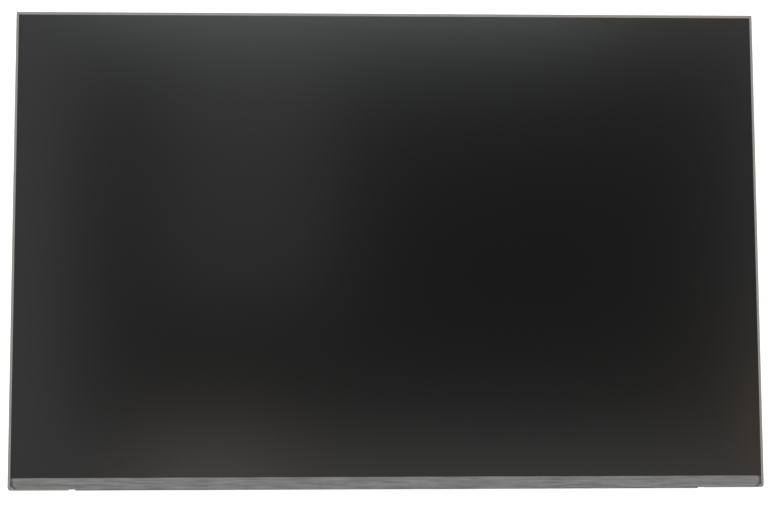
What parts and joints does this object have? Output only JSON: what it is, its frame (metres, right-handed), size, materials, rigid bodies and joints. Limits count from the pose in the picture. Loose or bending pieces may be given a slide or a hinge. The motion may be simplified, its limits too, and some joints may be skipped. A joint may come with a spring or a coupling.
{
  "type": "laptop screen panel",
  "caption": "Flat laptop display module: matt black screen in a thin grey frame, taped lower edge, aluminium back plate with a driver board and cable socket.",
  "frame": {"origin": "under the middle of the module's outline, on the surface that the module lies on, face up", "axes": "+X to the viewer's right along the screen's width, +Y towards the top of the screen, +Z out of the screen's face"},
  "size_m": [0.307, 0.197, 0.0039],
  "materials": {
    "polariser_black": "matt anti-glare film",
    "polariser_film": "smooth film",
    "display_glass": "thin float glass with ground edges",
    "silicon": "polished chip",
    "flex_amber": "polyimide circuit film",
    "tape_black": "matt black adhesive tape",
    "film_clear": "clear optical film",
    "film_white": "white optical film",
    "guide_clear": "clear moulded plate",
    "tape_clear": "clear adhesive tape",
    "led_white": "moulded package with a yellow window",
    "frame_grey": "moulded, fine matt grain",
    "plate_aluminium": "rolled and stamped sheet",
    "tape_grey": "metallised tape, satin",
    "ground_tape": "plated conductive fabric",
    "board_green": "green solder mask",
    "package_black": "moulded package",
    "ferrite": "pressed ferrite",
    "ceramic_tan": "fired ceramic with tinned ends",
    "ceramic_black": "ceramic with a glazed top and tinned ends",
    "socket_black": "moulded housing",
    "shell_steel": "tinned spring steel",
    "contact_gold": "gold plated spring metal"
  },
  "bodies": {
    "root": {"front_polariser": "polariser_black", "rear_polariser": "polariser_film", "colour_filter_glass": "display_glass", "array_glass": "display_glass", "source_driver_1": "silicon", "source_driver_2": "silicon", "source_driver_3": "silicon", "source_driver_4": "silicon", "panel_flex_left": "flex_amber", "panel_flex_right": "flex_amber", "led_flex": "flex_amber", "rim_tape": "tape_black", "board_tape": "tape_black", "upper_prism_sheet": "film_clear", "lower_prism_sheet": "film_clear", "diffuser_sheet": "film_white", "reflector_sheet": "film_white", "light_guide_plate": "guide_clear", "light_bar_tape": "tape_clear", "leds": "led_white", "mould_frame": "frame_grey", "back_plate": "plate_aluminium", "ledge_cover_tape": "tape_grey", "ground_tape_left": "ground_tape", "ground_tape_right": "ground_tape", "driver_board": "board_green", "timing_controller": "package_black", "flash_memory": "package_black", "level_shifter": "package_black", "power_regulator": "package_black", "backlight_driver": "package_black", "boost_diode": "package_black", "boost_inductor": "ferrite", "buck_inductor": "ferrite", "ceramic_capacitors": "ceramic_tan", "bulk_capacitors": "ceramic_tan", "fuse": "ceramic_tan", "chip_resistors": "ceramic_black", "socket_housing": "socket_black", "socket_shell": "shell_steel", "socket_contacts": "contact_gold"}
  },
  "joints": []
}
